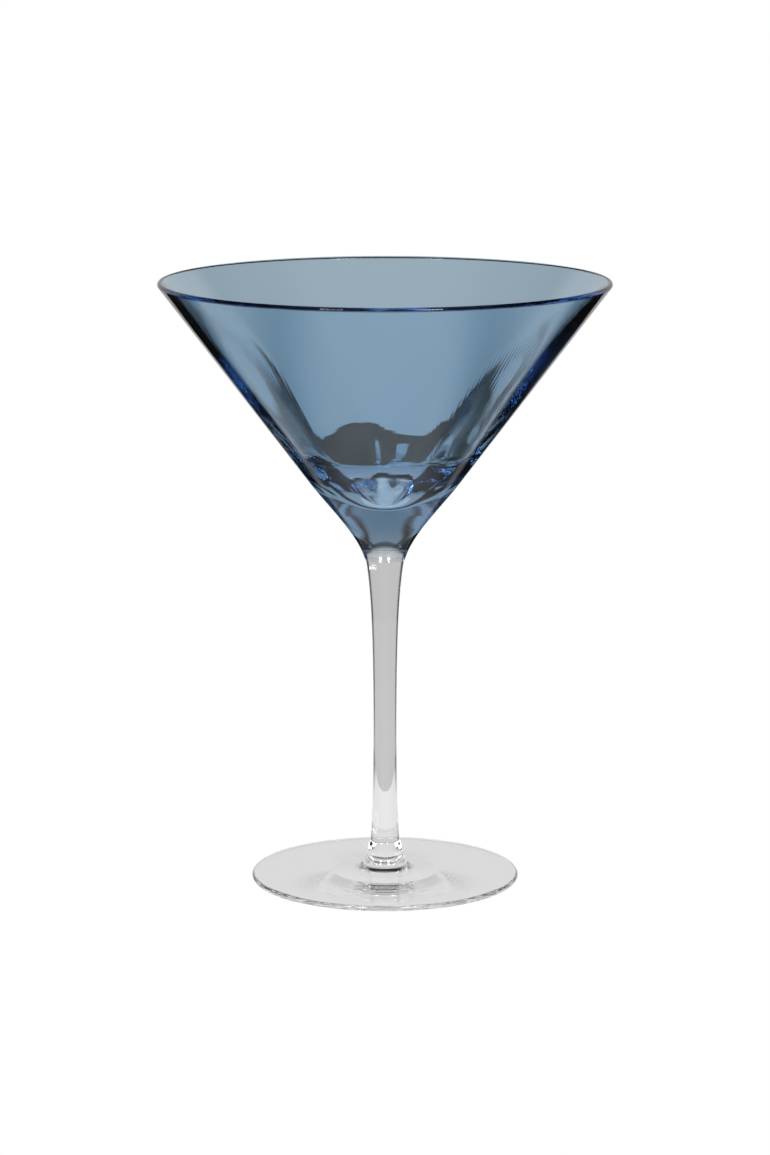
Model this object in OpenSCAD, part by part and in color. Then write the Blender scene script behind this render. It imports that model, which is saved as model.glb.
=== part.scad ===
// Stemmed cocktail glass with a wide conical bowl, blown and drawn by hand.
// Three gathers of glass are stuck together hot: a tinted bowl with a heavy solid
// base, a clear drawn stem whose domed head is seated in that base, and a clear
// round foot with a short flared boss that takes the lower end of the stem.
// Millimetres, +Z up. The origin is the middle of the foot's underside, on the
// surface the glass stands on.

/* [Whole glass] */
// height of the rim above the table
total_h = 169; // [164:1:174]
// outside diameter of the bowl at its widest
rim_d = 125; // [121:1:129]
// height of the seam where the tinted base ends and the clear stem comes out
seam_z = 91; // [89:0.5:93]

/* [Bowl] */
// height where the straight cone ends and the solid base begins to draw in
base_z = 112; // [111:0.5:113]
// outside radius of the bowl at that height
base_r = 20.2; // [19.6:0.1:20.8]
// thickness of the wall at the rim, straight through it, at the hollow of a scallop
wall_rim = 1.5; // [1.4:0.1:1.8]
// the same where the wall turns into the floor
wall_low = 2.6; // [2.4:0.1:3]
// radius of the fire-polished lip, outside
lip_r = 0.8; // [0.7:0.1:1.1]
// height of the lowest point inside the bowl
cavity_z = 110.4; // [109.9:0.1:110.9]
// radius of the small round bottom inside the bowl
bottom_r = 11.5; // [10.5:0.5:12.5]
// lean from upright of the floor just above that bottom, degrees
floor_lean = 61; // [59:1:63]

/* [Optic] */
// number of long shallow scallops blown into the inside of the bowl
scallops = 6; // [5:1:7]
// direction of the first scallop, degrees from the right of the glass
scallop_turn = 40; // [0:1:60]
// distance of each scallop's own axis from the glass's axis, low down
scallop_off_low = 4.2; // [3.2:0.1:5.2]
// distance of each scallop's own axis from the glass's axis, above the rim
scallop_off_top = 3.6; // [3:0.1:4.2]

/* [Stem] */
// radius of the stem at its waist
waist_r = 3.15; // [2.9:0.05:3.4]
// extra radius where the stem leaves the bowl
neck_swell = 2.15; // [2:0.05:2.25]
// extra radius where the stem meets the foot
toe_swell = 0.95; // [0.8:0.05:1]
// height of the domed head seated in the bowl's base
head_h = 4.4; // [4:0.1:4.8]
// radius of the shoulder of that head
head_r = 2.6; // [2.2:0.1:3]

/* [Foot] */
// diameter of the foot
foot_d = 75; // [72:1:80]
// thickness of the foot near its edge
edge_t = 1.5; // [1.3:0.1:1.7]
// height of the top of the boss, where the stem begins
boss_z = 10.6; // [9.5:0.1:11.5]
// radius of the top of the boss
boss_r = 4; // [3.9:0.05:4.1]
// rise of the foot's top from the edge to the middle, without the boss
crown = 3; // [2.5:0.1:3.5]
// how strongly that rise gathers in the middle
crown_curve = 2.5; // [2:0.1:3]
// depth of the hollow ground under the foot where the rod was broken off
kick = 0.9; // [0.7:0.1:1.1]
// radius of that hollow, and inner radius of the flat the glass stands on
ring_r = 14.4; // [13:0.2:16]

/* [Hidden] */
$fn = 96;
rim_r = rim_d / 2;
foot_r = foot_d / 2;
tint = [0.42, 0.56, 0.68, 0.45];
clear = [0.9, 0.91, 0.92, 0.35];

// outside of the bowl: a straight cone that runs into the round of the lip
flare = (rim_r - 0.2 * lip_r - base_r) / (total_h - 1.6 * lip_r - base_z);
function cone_r(z) = base_r + flare * (z - base_z);
// inside of the bowl at the middle of a scallop
floor_z = 124;
function wall(z) = wall_rim + (wall_low - wall_rim) * (total_h - z) / (total_h - floor_z);
function inner_r(z) = cone_r(z) - wall(z) * sqrt(1 + flare * flare);
low_z = cavity_z - 2;
high_z = total_h + 4;

// seat of the stem's head, and the thin skirt of tinted glass around it
head_base = waist_r + neck_swell;
skirt_r = head_base + 0.25;

function arc(cx, cz, r, a0, a1, n) =
    [for (i = [0:n]) let (a = a0 + (a1 - a0) * i / n) [cx + r * cos(a), cz + r * sin(a)]];

// curve with a given radius and slope at both ends, t from 0 to 1
function ease(t, r0, s0, r1, s1) =
    (2 * t * t * t - 3 * t * t + 1) * r0 + (t * t * t - 2 * t * t + t) * s0
    + (3 * t * t - 2 * t * t * t) * r1 + (t * t * t - t * t) * s1;

// outside of the solid base, from the skirt up to the cone
function base_side(n) = let (h = base_z - seam_z) [for (i = [0:n])
    [ease(i / n, skirt_r, 0.28 * h, base_r, 1.05 * flare * h), seam_z + h * i / n]];

// domed head of the stem, which is also the shape of its socket
function head() = concat(
    [[head_base, seam_z]],
    arc(head_base - 0.15 - head_r, seam_z + head_h - head_r - 0.2, head_r, 0, 84, 8),
    [[0, seam_z + head_h]]);

function stem_r(z) = waist_r + neck_swell * exp(-(seam_z - z) / 13)
    + toe_swell * exp(-(z - boss_z) / 10);

// top of the foot, from the boss outward
function dome(r) = edge_t + crown * pow(1 - r / foot_r, crown_curve);
function foot_top(r) = dome(r) + (boss_z - dome(boss_r)) * exp(-pow((r - boss_r) / 1.35, 1.6));

// one scallop: a long cone whose axis leans a little towards the glass's axis
module scallop() {
    span = high_z - low_z;
    lean = atan((scallop_off_low - scallop_off_top) / span);
    translate([scallop_off_low, 0, low_z])
        rotate([0, -lean, 0])
            cylinder(h = span / cos(lean), r1 = inner_r(low_z) - scallop_off_low,
                     r2 = inner_r(high_z) - scallop_off_top);
}

// everything above the floor of the cavity
module above_floor() {
    a = 90 - floor_lean;
    edge_r = bottom_r * sin(a);
    edge_z = cavity_z + bottom_r * (1 - cos(a));
    rise = high_z + 6 - edge_z;
    rotate_extrude()
        polygon(concat(
            arc(0, cavity_z + bottom_r, bottom_r, -90, -90 + a, 8),
            [[edge_r + rise * tan(floor_lean), edge_z + rise], [0, edge_z + rise]]));
}

module bowl() color(tint) difference() {
    rotate_extrude()
        polygon(concat(
            base_side(12),
            arc(rim_r - lip_r, total_h - lip_r, lip_r, -atan(flare), 90, 8),
            [[0, total_h], [0, seam_z]]));
    rotate_extrude()
        polygon(concat(head(), [[0, seam_z - 1], [head_base, seam_z - 1]]));
    intersection() {
        for (i = [0:scallops - 1]) rotate([0, 0, scallop_turn + i * 360 / scallops]) scallop();
        above_floor();
    }
}

module stem() color(clear)
    rotate_extrude()
        polygon(concat(
            head(),
            [[0, boss_z]],
            [for (i = [0:19]) let (z = boss_z + (seam_z - boss_z) * i / 20) [stem_r(z), z]]));

module foot() color(clear)
    rotate_extrude()
        polygon(concat(
            [[0, kick], [6, kick], [ring_r, 0]],
            arc(foot_r - edge_t / 2, edge_t / 2, edge_t / 2, -90, 90, 6),
            [for (i = [13:-1:0])
                let (r = boss_r + (foot_r - edge_t - boss_r) * pow(i / 14, 2.2))
                [r, foot_top(r)]],
            [[0, boss_z]]));

bowl();
stem();
foot();
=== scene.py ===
import math

import bpy
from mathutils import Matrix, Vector


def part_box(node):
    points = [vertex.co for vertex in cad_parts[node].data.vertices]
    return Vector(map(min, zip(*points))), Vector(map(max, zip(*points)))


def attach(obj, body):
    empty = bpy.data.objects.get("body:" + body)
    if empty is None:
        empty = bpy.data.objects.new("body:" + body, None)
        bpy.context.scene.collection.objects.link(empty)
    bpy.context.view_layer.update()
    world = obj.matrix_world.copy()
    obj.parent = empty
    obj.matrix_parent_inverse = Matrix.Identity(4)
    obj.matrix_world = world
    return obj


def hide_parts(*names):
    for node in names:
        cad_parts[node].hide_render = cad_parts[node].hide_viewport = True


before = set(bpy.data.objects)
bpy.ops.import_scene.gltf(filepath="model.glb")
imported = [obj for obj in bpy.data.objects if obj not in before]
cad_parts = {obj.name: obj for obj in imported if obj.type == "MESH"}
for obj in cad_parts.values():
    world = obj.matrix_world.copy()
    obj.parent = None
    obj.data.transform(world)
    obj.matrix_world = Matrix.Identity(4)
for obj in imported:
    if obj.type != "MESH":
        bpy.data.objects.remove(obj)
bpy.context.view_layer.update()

MM = 0.001

# ---------------------------------------------------------------- sizes, mm
bowl_low, bowl_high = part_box("bowl")
foot_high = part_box("foot")[1]

RIM_R = bowl_high.x / MM
TOP_Z = bowl_high.z / MM
SEAM_Z = bowl_low.z / MM          # tinted base ends, clear stem begins
FOOT_R = foot_high.x / MM
BOSS_Z = foot_high.z / MM

# outside of the bowl
LIP_R = 0.75                      # full round of the lip, half the wall there
BASE_Z, BASE_R = 112.0, 20.2      # the straight cone starts here
SKIRT = 0.25                      # tinted skirt round the head of the stem
SKIRT_SLOPE = 0.28                # radius gained per mm of height at the skirt
CONE_SLOPE = 1.05                 # the base meets the cone this much wider than its slope

# inside of the bowl
WALL_LOW, LOW_Z = 3.447, 124.0    # thickness of the wall where the floor begins
CAVITY_Z = 110.436                # lowest point of the inside
BOTTOM_R = 11.315                 # round of that lowest point
FLOOR_LEAN = 60.969               # lean of the floor from upright, degrees
FLOOR_BLEND = 3.525               # softness of the turn from wall to floor
LIP_STEP = 0.3                    # the inside starts this far under the round of the lip

# optic blown into the inside: broad ribs low down, finer flutes up to the lip
RIBS, RIB_DEPTH, FIRST_RIB = 6, 0.794, -109.072           # count, mm, degrees
RIB_NARROW = 0.911                # under 1 the ribs are broader than the hollows between
RIB_PEAK_Z = 124.808              # they are deepest here
RIB_UP, RIB_DOWN = 13.105, 2.0    # and die away over these heights above and below
FLUTES, FLUTE_DEPTH, FIRST_FLUTE = 12, 0.447, -78.743
# both fade out towards the rim and towards the middle, between two distances from each
RIB_BELOW_RIM, RIB_FROM_AXIS = (2.0, 12.0), (2.0, 8.0)
FLUTE_BELOW_RIM, FLUTE_FROM_AXIS = (1.0, 22.0), (6.0, 16.0)

# stem, with the domed head that is fused into the bowl
WAIST_R = 3.15
NECK_SWELL, NECK_LENGTH = 2.15, 13.0                      # towards the bowl
TOE_SWELL, TOE_LENGTH = 0.95, 10.0                        # towards the foot
HEAD_H, HEAD_R = 4.4, 2.6         # height of the head, round of its shoulder
HEAD_TAPER, HEAD_CROWN = 0.15, 0.2
HEAD_TURN = 84                    # degrees turned by the shoulder
FUSED = 0.05                      # a fused piece reaches this far into its neighbour

# foot
EDGE_T, CROWN, CROWN_CURVE = 1.5, 3.0, 2.5
KICK, KICK_R, RING_R = 0.9, 6.0, 14.4                     # hollow ground under the foot
BOSS_R, BOSS_FLARE, BOSS_CURVE = 4.0, 1.35, 1.6

# strength of the tinted layer, 0 to 1
WALL_TINT, BASE_TINT, FLOOR_TINT = 0.715, 0.96, 1.0
SKIRT_FADE = (96.042, 104.186)    # heights between which it grows above the skirt
FLOOR_FADE = (116.0, 126.0)       # and changes from the floor's to the wall's

STEPS_ROUND = 288
CREASE = 35                       # a sharper edge than this isn't smoothed, degrees


# ---------------------------------------------------------------- outlines
def ease(t, r0, s0, r1, s1):
    """Radius of a curve with a given radius and slope at each end."""
    return ((2 * t**3 - 3 * t**2 + 1) * r0 + (t**3 - 2 * t**2 + t) * s0
            + (3 * t**2 - 2 * t**3) * r1 + (t**3 - t**2) * s1)


def arc(cr, cz, r, a0, a1, n):
    """Points of an arc round (cr, cz), from angle a0 to a1 in degrees."""
    steps = [math.radians(a) for a in spread(a0, a1, n)]
    return [(cr + r * math.cos(a), cz + r * math.sin(a)) for a in steps]


def spread(start, end, n):
    """n + 1 even values from start to end."""
    return [start + (end - start) * i / n for i in range(n + 1)]


def smooth(x, start, end):
    """0 up to start, 1 from end on, soft between."""
    t = max(0.0, min(1.0, (x - start) / (end - start)))
    return t * t * (3 - 2 * t)


FLARE = (RIM_R - 0.2 * LIP_R - BASE_R) / (TOP_Z - 1.6 * LIP_R - BASE_Z)
LEAN = math.degrees(math.atan(FLARE))
ACROSS = math.hypot(1, FLARE)     # level thickness of a leaning wall 1 mm thick
HEAD_BASE = WAIST_R + NECK_SWELL
SKIRT_R = HEAD_BASE + SKIRT


def cone_r(z):
    return BASE_R + FLARE * (z - BASE_Z)


def base_side_r(z):
    """Outside of the solid base, from the skirt to the cone."""
    span = BASE_Z - SEAM_Z
    return ease((z - SEAM_Z) / span, SKIRT_R, SKIRT_SLOPE * span, BASE_R, CONE_SLOPE * FLARE * span)


def head_outline(grow=0.0):
    """Domed head of the stem from its base to its top, grown by a hair where it is fused in."""
    shoulder = arc(HEAD_BASE - HEAD_TAPER - HEAD_R, SEAM_Z + HEAD_H - HEAD_R - HEAD_CROWN,
                   HEAD_R + grow, 0, HEAD_TURN, 14)
    return [(HEAD_BASE + grow, SEAM_Z)] + shoulder + [(0.0, SEAM_Z + HEAD_H + grow)]


def stem_r(z):
    return (WAIST_R + NECK_SWELL * math.exp(-(SEAM_Z - z) / NECK_LENGTH)
            + TOE_SWELL * math.exp(-(z - BOSS_Z) / TOE_LENGTH))


def dome(r):
    """Top of the foot without the boss."""
    return EDGE_T + CROWN * (1 - r / FOOT_R) ** CROWN_CURVE


def foot_top(r):
    boss = BOSS_Z - dome(BOSS_R)
    return dome(r) + boss * math.exp(-((r - BOSS_R) / BOSS_FLARE) ** BOSS_CURVE)


def cavity_outline():
    """Inside of the bowl from just under the lip to its lowest point, before the optic."""
    turn = math.radians(90 - FLOOR_LEAN)
    edge_r = BOTTOM_R * math.sin(turn)
    edge_z = CAVITY_Z + BOTTOM_R * (1 - math.cos(turn))
    lip_end = TOP_Z - LIP_R * (1 - math.sin(math.radians(LEAN)))

    def inside_r(z):
        wall = 2 * LIP_R + (WALL_LOW - 2 * LIP_R) * (lip_end - z) / (lip_end - LOW_Z)
        wall_r = cone_r(z) - wall * ACROSS
        floor_r = edge_r + math.tan(math.radians(FLOOR_LEAN)) * (z - edge_z)
        near = max(0.0, 1 - abs(wall_r - floor_r) / FLOOR_BLEND)
        return min(wall_r, floor_r) - near * near * FLOOR_BLEND / 4

    side = [(inside_r(z), z) for z in spread(lip_end - LIP_STEP, edge_z, 110)]
    bottom = arc(0, CAVITY_Z + BOTTOM_R, BOTTOM_R, FLOOR_LEAN - 180, -90, 14)
    return side + [(-r, z) for r, z in bottom[1:-1]] + [(0.0, CAVITY_Z)]


def cavity_marks(r, z):
    """Strength of the ribs, the flutes and the tint at a point of the inside."""
    reach = RIB_UP if z > RIB_PEAK_Z else RIB_DOWN
    rib = (math.exp(-((z - RIB_PEAK_Z) / reach) ** 2)
           * smooth(r, *RIB_FROM_AXIS) * smooth(TOP_Z - z, *RIB_BELOW_RIM))
    flute = smooth(TOP_Z - z, *FLUTE_BELOW_RIM) * smooth(r, *FLUTE_FROM_AXIS)
    tint = FLOOR_TINT + (WALL_TINT - FLOOR_TINT) * smooth(z, *FLOOR_FADE)
    return rib, flute, tint


def bowl_outline():
    """Radius, height, rib, flute and tint of each point, from the socket round to the cavity."""
    socket = [(r, z, 0.0, 0.0, 0.0) for r, z in reversed(head_outline())]
    base = [(base_side_r(z), z, 0.0, 0.0, BASE_TINT * smooth(z, *SKIRT_FADE))
            for z in spread(SEAM_Z, BASE_Z, 40)]
    cone = [(cone_r(z), z) for z in spread(BASE_Z, TOP_Z - 1.6 * LIP_R, 40)[1:-1]]
    lip = arc(RIM_R - LIP_R, TOP_Z - LIP_R, LIP_R, -LEAN, 180 - LEAN, 24)
    outside = [(r, z, 0.0, 0.0, BASE_TINT + (WALL_TINT - BASE_TINT) * smooth(z, BASE_Z, LOW_Z))
               for r, z in cone + lip]
    cavity = [(r, z) + cavity_marks(r, z) for r, z in cavity_outline()]
    return socket + base + outside + cavity


def stem_outline():
    side = [(stem_r(z), z) for z in spread(BOSS_Z, SEAM_Z, 60)]
    low = BOSS_Z - FUSED
    return [(0.0, low), (stem_r(BOSS_Z), low)] + side + head_outline(FUSED)[1:]


def foot_outline():
    under = [(r, KICK * (RING_R - r) / (RING_R - KICK_R)) for r in spread(KICK_R, RING_R, 20)]
    edge = arc(FOOT_R - EDGE_T / 2, EDGE_T / 2, EDGE_T / 2, -90, 90, 16)
    # the points of the top lie closer together towards the boss
    radii = [BOSS_R + (FOOT_R - EDGE_T - BOSS_R) * (i / 50) ** 2.2 for i in range(49, -1, -1)]
    return [(0.0, KICK)] + under + edge + [(r, foot_top(r)) for r in radii] + [(0.0, BOSS_Z)]


# ---------------------------------------------------------------- node trees
class Val:
    """A value in a node tree, which can be used in an expression."""

    def __init__(self, tree, socket):
        self.tree, self.socket = tree, socket

    def math(self, operation, *others):
        return self.tree.math(operation, self, *others)

    def __add__(self, other):
        return self.math("ADD", other)

    def __radd__(self, other):
        return self.tree.math("ADD", other, self)

    def __sub__(self, other):
        return self.math("SUBTRACT", other)

    def __rsub__(self, other):
        return self.tree.math("SUBTRACT", other, self)

    def __mul__(self, other):
        return self.math("MULTIPLY", other)

    def __rmul__(self, other):
        return self.tree.math("MULTIPLY", other, self)

    def __truediv__(self, other):
        return self.math("DIVIDE", other)

    def __pow__(self, other):
        return self.math("POWER", other)

    def __abs__(self):
        return self.math("ABSOLUTE")


class Tree:
    """A shader, world or geometry tree, with one method that adds any node."""

    def __init__(self, tree):
        self.tree = tree
        tree.nodes.clear()

    def add(self, kind, settings=None, **sockets):
        """A node. Sockets go by name, with _ for a space, or by place, as i6."""
        node = self.tree.nodes.new(kind)
        for key, value in (settings or {}).items():
            setattr(node, key, value)
        for key, value in sockets.items():
            if key[0] == "i" and key[1:].isdigit():
                socket = node.inputs[int(key[1:])]
            else:
                name = key.replace("_", " ")
                socket = next(s for s in node.inputs if s.name == name and s.enabled)
            if isinstance(value, Val):
                self.tree.links.new(value.socket, socket)
            else:
                socket.default_value = value
        return node

    def val(self, kind, settings=None, out=0, **sockets):
        """The same, giving one of the node's outputs."""
        return self.out(self.add(kind, settings, **sockets), out)

    def out(self, node, out=0):
        if isinstance(out, int):
            return Val(self, node.outputs[out])
        return Val(self, next(s for s in node.outputs if s.name == out and s.enabled))

    def math(self, operation, *values):
        named = {f"i{k}": v for k, v in enumerate(values)}
        return self.val("ShaderNodeMath", {"operation": operation}, **named)

    def ramp(self, value, start, end):
        """0 up to start, 1 from end on, soft between."""
        return self.val("ShaderNodeMapRange", {"interpolation_type": "SMOOTHSTEP"}, Value=value,
                        From_Min=start, From_Max=end)

    def mix(self, factor, first, second):
        """From the first colour to the second."""
        return self.val("ShaderNodeMix", {"data_type": "RGBA"}, "Result",
                        Factor=factor, i6=first, i7=second)


INPUTS = (("Outline", "NodeSocketGeometry"), ("Steps round", "NodeSocketInt"),
          ("Ribs", "NodeSocketInt"), ("Rib depth", "NodeSocketFloat"),
          ("First rib", "NodeSocketFloat"), ("Rib narrowness", "NodeSocketFloat"),
          ("Flutes", "NodeSocketInt"), ("Flute depth", "NodeSocketFloat"),
          ("First flute", "NodeSocketFloat"), ("Glass", "NodeSocketMaterial"))


def turning_tree():
    """Turns an outline round Z into a closed solid, and presses ribs and flutes into its optic."""
    group = bpy.data.node_groups.new("turned_glass", "GeometryNodeTree")
    t = Tree(group)
    for name, kind in INPUTS:
        group.interface.new_socket(name=name, in_out="INPUT", socket_type=kind)
    group.interface.new_socket(name="Solid", in_out="OUTPUT", socket_type="NodeSocketGeometry")
    given = t.add("NodeGroupInput")
    outline = t.out(given, "Outline")
    turns = t.out(given, "Steps round")

    # a sheet with a row for each point of the outline and a column for each step round
    rows = t.val("GeometryNodeAttributeDomainSize", {"component": "MESH"}, "Point Count",
                 Geometry=outline)
    sheet = t.val("GeometryNodeMeshGrid", None, "Mesh", Size_X=1.0, Size_Y=1.0,
                  Vertices_X=turns + 1, Vertices_Y=rows)
    index = t.val("GeometryNodeInputIndex")
    column = (index / rows + 0.0001).math("FLOOR")
    row = index - column * rows
    angle = column * (2 * math.pi) / turns

    def along(kind, value):
        """A property of the outline at this row."""
        return t.val("GeometryNodeSampleIndex", {"data_type": kind, "domain": "POINT"},
                     Geometry=outline, Value=value, Index=row)

    def mark(name):
        named = t.val("GeometryNodeInputNamedAttribute", {"data_type": "FLOAT"}, Name=name)
        return along("FLOAT", named)

    def wave(count, first):
        """1 in the middle of each rib or flute, 0 half way between two."""
        return (t.out(given, count) * (angle - t.out(given, first))).math("COSINE") * 0.5 + 0.5

    place = t.add("ShaderNodeSeparateXYZ", None,
                  Vector=along("FLOAT_VECTOR", t.val("GeometryNodeInputPosition")))
    rib = wave("Ribs", "First rib") ** t.out(given, "Rib narrowness")
    rib = rib * t.out(given, "Rib depth") * mark("rib")
    flute = wave("Flutes", "First flute") * t.out(given, "Flute depth") * mark("flute")
    radius = t.out(place, "X") - rib - flute
    point = t.val("ShaderNodeCombineXYZ", None, X=radius * angle.math("COSINE"),
                  Y=radius * angle.math("SINE"), Z=t.out(place, "Z"))

    solid = t.val("GeometryNodeSetPosition", None, Geometry=sheet, Position=point)
    solid = t.val("GeometryNodeStoreNamedAttribute", {"data_type": "FLOAT", "domain": "POINT"},
                  Geometry=solid, Name="tint_layer", Value=mark("tint"))
    solid = t.val("GeometryNodeMergeByDistance", None, Geometry=solid, Distance=1e-6)
    crease = t.val("GeometryNodeInputMeshEdgeAngle", None, "Unsigned Angle")
    solid = t.val("GeometryNodeSetShadeSmooth", {"domain": "EDGE"}, i0=solid,
                  Shade_Smooth=crease.math("LESS_THAN", math.radians(CREASE)))
    solid = t.val("GeometryNodeRealizeInstances", None, Geometry=solid)
    solid = t.val("GeometryNodeSetMaterial", None, Geometry=solid, Material=t.out(given, "Glass"))
    t.add("NodeGroupOutput", None, Solid=solid)
    return group


def turned(name, points, glass, tree, optic):
    """A plain mesh piece from an outline in mm that starts and ends on the axis."""
    points = [tuple(p) + (0.0,) * (5 - len(p)) for p in points]
    line = bpy.data.meshes.new(name + "_outline")
    line.from_pydata([(p[0] * MM, 0.0, p[1] * MM) for p in points], [], [])
    for k, mark in enumerate(("rib", "flute", "tint"), 2):
        attribute = line.attributes.new(mark, "FLOAT", "POINT")
        attribute.data.foreach_set("value", [p[k] for p in points])
    holder = bpy.data.objects.new(name + "_outline", line)
    bpy.context.scene.collection.objects.link(holder)
    values = {"Steps round": STEPS_ROUND, "Glass": glass,
              "Ribs": RIBS, "Rib depth": RIB_DEPTH * MM * optic,
              "First rib": math.radians(FIRST_RIB), "Rib narrowness": RIB_NARROW,
              "Flutes": FLUTES, "Flute depth": FLUTE_DEPTH * MM * optic,
              "First flute": math.radians(FIRST_FLUTE)}
    modifier = holder.modifiers.new("turned", "NODES")
    modifier.node_group = tree
    for item in tree.interface.items_tree:
        if item.in_out == "INPUT" and item.name in values:
            modifier[item.identifier] = values[item.name]
    ready = holder.evaluated_get(bpy.context.evaluated_depsgraph_get())
    mesh = bpy.data.meshes.new_from_object(ready)
    mesh.name = name
    mesh.materials.clear()        # Set Material leaves an empty slot in front of its own
    mesh.materials.append(glass)
    mesh.polygons.foreach_set("material_index", [0] * len(mesh.polygons))
    holder.modifiers.clear()
    bpy.data.objects.remove(holder)
    piece = bpy.data.objects.new(name, mesh)
    bpy.context.scene.collection.objects.link(piece)
    return piece


# ---------------------------------------------------------------- glass
WHITE = (1.0, 1.0, 1.0, 1.0)
TINT_LAYER = (0.44, 0.692, 0.88, 1.0)       # left of the light by one tinted surface
TINT_IN_MASS = (20.0, 13.0, 6.5)            # absorbed per metre of tinted glass
DENSITY = 80.0
CLEAR_CAST = (0.9, 0.93, 0.92, 1.0)         # faint cast that clear glass has in places
CAST = 0.02
INDEX = 1.5
FINISH = 0.03                               # roughness where the fire polish is dullest
WAVES, WAVE_HEIGHT, WAVE_STRENGTH = 90.0, 0.0002, 0.02      # hand-worked surface
CLOUDS, MOTTLE = 35.0, 0.06                 # unevenness of the finish and of the tint


def glass(name, tinted):
    material = bpy.data.materials.new(name)
    material.use_nodes = True
    t = Tree(material.node_tree)
    place = t.val("ShaderNodeTexCoord", None, "Object")
    waves = t.val("ShaderNodeTexNoise", None, Vector=place, Scale=WAVES, Detail=1.0)
    bump = t.val("ShaderNodeBump", None, Strength=WAVE_STRENGTH, Distance=WAVE_HEIGHT, Height=waves)
    cloud = t.val("ShaderNodeTexNoise", None, Vector=place, Scale=CLOUDS, Detail=2.0)
    if tinted:
        layer = t.val("ShaderNodeAttribute", {"attribute_name": "tint_layer"}, "Fac")
        colour = t.mix(layer * (1 - MOTTLE / 2 + MOTTLE * cloud), WHITE, TINT_LAYER)
    else:
        colour = t.mix(cloud * CAST, WHITE, CLEAR_CAST)
    body = t.val("ShaderNodeBsdfPrincipled", None, Base_Color=colour, Roughness=cloud * FINISH,
                 IOR=INDEX, Transmission_Weight=1.0, Normal=bump)
    out = t.add("ShaderNodeOutputMaterial", None, Surface=body)
    if tinted:
        left = tuple(1 - a / DENSITY for a in TINT_IN_MASS) + (1.0,)
        mass = t.val("ShaderNodeVolumeAbsorption", None, Color=left, Density=DENSITY)
        t.tree.links.new(mass.socket, out.inputs["Volume"])
    return material


tinted_glass = glass("blue_tinted_glass", True)
clear_glass = glass("clear_crystal_glass", False)
turning = turning_tree()

PIECES = (("bowl_glass", bowl_outline(), tinted_glass, "bowl", "tinted_glass", True),
          ("stem_glass", stem_outline(), clear_glass, "stem", "clear_glass", False),
          ("foot_glass", foot_outline(), clear_glass, "foot", "clear_glass", False))
for name, points, finish, node, slot, optic in PIECES:
    piece = turned(name, points, finish, turning, optic)
    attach(piece, "root")
    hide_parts(node)

# ---------------------------------------------------------------- floor
# The camera sees a white floor. The glass sees a lit patch of it, a dim band and a pale rest.
# Light levels, and distances from the stem in metres.
TABLE = 0.81                      # the lit patch
TABLE_SIDE = 0.08                 # half its width
TABLE_FRONT = 0.30                # its reach in front
TABLE_BACK = 0.091                # the table ends here behind the stem
DIM = 0.02                        # the band round the patch
FAR, FAR_FROM = 0.5, 0.12         # the rest of the table, and where it starts
FLOOR_REACH, FLOOR_Z = 2.0, -0.0002


def seen_or_lit(tree, light):
    """White to the camera, and this light to the glass."""
    seen = tree.val("ShaderNodeLightPath", None, "Is Camera Ray")
    return seen + (1 - seen) * light


corners = ((-1, -FLOOR_REACH), (1, -FLOOR_REACH), (1, TABLE_BACK), (-1, TABLE_BACK))
floor_mesh = bpy.data.meshes.new("floor")
floor_mesh.from_pydata([(x * FLOOR_REACH, y, FLOOR_Z) for x, y in corners], [], [(0, 1, 2, 3)])
floor = bpy.data.objects.new("floor", floor_mesh)
bpy.context.scene.collection.objects.link(floor)
pale_floor = bpy.data.materials.new("pale_floor")
pale_floor.use_nodes = True
t = Tree(pale_floor.node_tree)
place = t.add("ShaderNodeSeparateXYZ", None, Vector=t.val("ShaderNodeTexCoord", None, "Object"))
across, back = abs(t.out(place, "X")), t.out(place, "Y")
patch = ((1 - t.ramp(across, TABLE_SIDE * 0.7, TABLE_SIDE * 1.5))
         * t.ramp(back, -TABLE_FRONT * 1.4, -TABLE_FRONT * 0.7))
away = (across * across + back * back).math("SQRT")
light = (patch * (TABLE - DIM) + DIM
         + t.ramp(away, FAR_FROM, FAR_FROM * 1.4) * FAR * (1 - patch))
glow = t.val("ShaderNodeEmission", None, Color=WHITE, Strength=seen_or_lit(t, light))
t.add("ShaderNodeOutputMaterial", None, Surface=glow)
floor_mesh.materials.append(pale_floor)

# ---------------------------------------------------------------- studio round it
# Light levels, and directions in degrees: up from level, and to each side of straight behind.
BACKDROP = 0.538
BACKDROP_LOW, LOW_SOFT = -16.3, 0.317
BACKDROP_HIGH, HIGH_SOFT = 29.452, 6.0
BACKDROP_SIDE, SIDE_SOFT = 52.0, 6.656
CEILING = 0.35
CEILING_FROM, CEILING_SOFT = 50.988, 12.0
UNDER_TO, UNDER_SOFT = -31.0, 6.0           # beyond the table it is pale again below this
ROOM = 0.008

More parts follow.
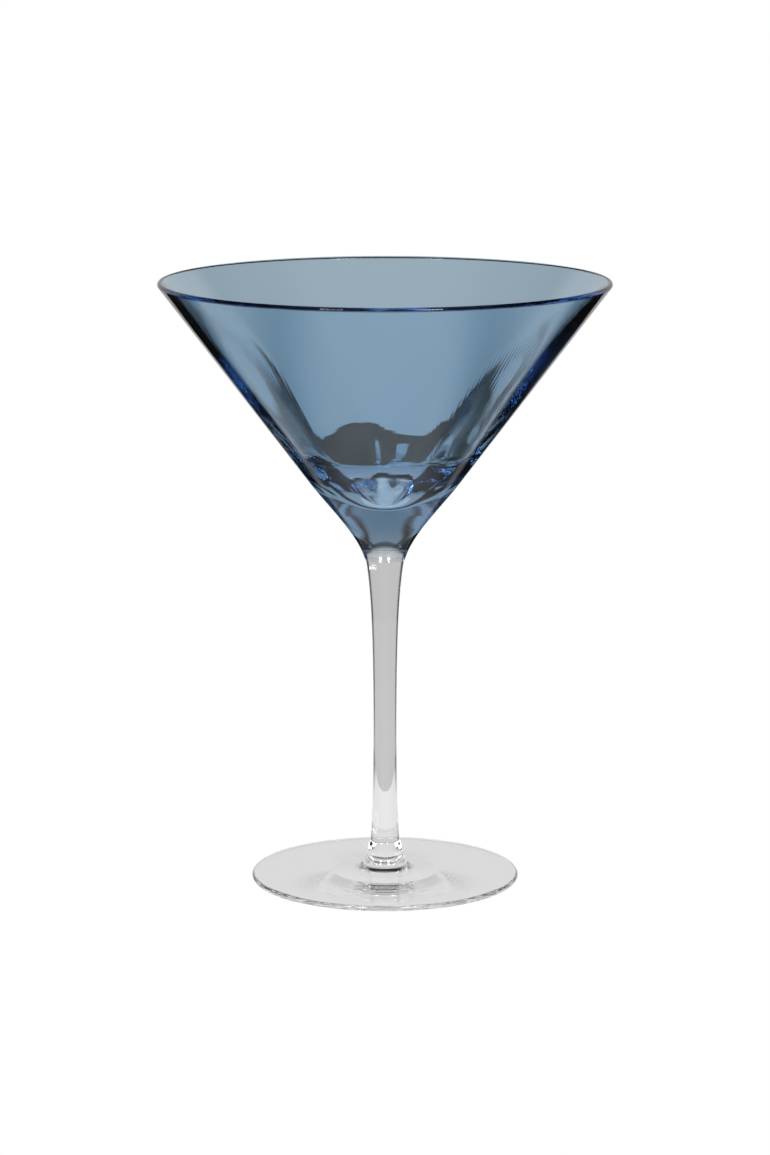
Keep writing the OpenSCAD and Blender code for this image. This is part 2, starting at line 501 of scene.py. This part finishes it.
studio = bpy.data.worlds.new("studio")
bpy.context.scene.world = studio
studio.use_nodes = True
t = Tree(studio.node_tree)
ray = t.add("ShaderNodeSeparateXYZ", None, Vector=t.val("ShaderNodeTexCoord", None, "Generated"))
side = abs(t.out(ray, "X").math("ARCTAN2", t.out(ray, "Y"))) * math.degrees(1)
up = t.out(ray, "Z").math("ARCSINE") * math.degrees(1)
backdrop = (t.ramp(up, BACKDROP_LOW - LOW_SOFT, BACKDROP_LOW + LOW_SOFT)
            * (1 - t.ramp(up, BACKDROP_HIGH - HIGH_SOFT, BACKDROP_HIGH + HIGH_SOFT))
            * (1 - t.ramp(side, BACKDROP_SIDE - SIDE_SOFT, BACKDROP_SIDE + SIDE_SOFT)))
ceiling = t.ramp(up, CEILING_FROM, CEILING_FROM + CEILING_SOFT)
under = 1 - t.ramp(up, UNDER_TO - UNDER_SOFT, UNDER_TO)
light = backdrop * BACKDROP + ceiling * CEILING + under * FAR + ROOM
sky = t.val("ShaderNodeBackground", None, Color=WHITE, Strength=seen_or_lit(t, light))
t.add("ShaderNodeOutputWorld", None, Surface=sky)

STRIP_W, STRIP_H, STRIP_POWER = 0.30, 0.50, 6.0             # metres, watts
STRIP_AIM = Vector((0, 0, 0.08))
STRIPS = {"strip_left": (-0.52, -0.97, 0.75), "strip_right": (0.425, -1.01, 0.75)}
for name, place in STRIPS.items():
    strip = bpy.data.lights.new(name, "AREA")
    strip.shape, strip.size, strip.size_y, strip.energy = "RECTANGLE", STRIP_W, STRIP_H, STRIP_POWER
    lamp = bpy.data.objects.new(name, strip)
    lamp.location = place
    lamp.rotation_euler = (STRIP_AIM - Vector(place)).to_track_quat("-Z", "Y").to_euler()
    bpy.context.scene.collection.objects.link(lamp)

# ---------------------------------------------------------------- camera
LENS, SENSOR = 119.906, 36.0                # mm
DISTANCE, EYE = 6.229 * TOP_Z, 1.719 * TOP_Z
TILT = 11.0                                 # downward, degrees
BOUNCES = 40                                # the glass has many surfaces in a row
camera_data = bpy.data.cameras.new("camera")
camera_data.lens, camera_data.sensor_width = LENS, SENSOR
camera = bpy.data.objects.new("camera", camera_data)
camera.location = (0, -DISTANCE * MM, EYE * MM)
camera.rotation_euler = (math.radians(90 - TILT), 0, 0)
bpy.context.scene.collection.objects.link(camera)
scene = bpy.context.scene
scene.camera = camera
scene.view_settings.view_transform = "Standard"
for limit in ("max_bounces", "transmission_bounces", "glossy_bounces", "transparent_max_bounces"):
    setattr(scene.cycles, limit, BOUNCES)
scene.cycles.volume_bounces = 0
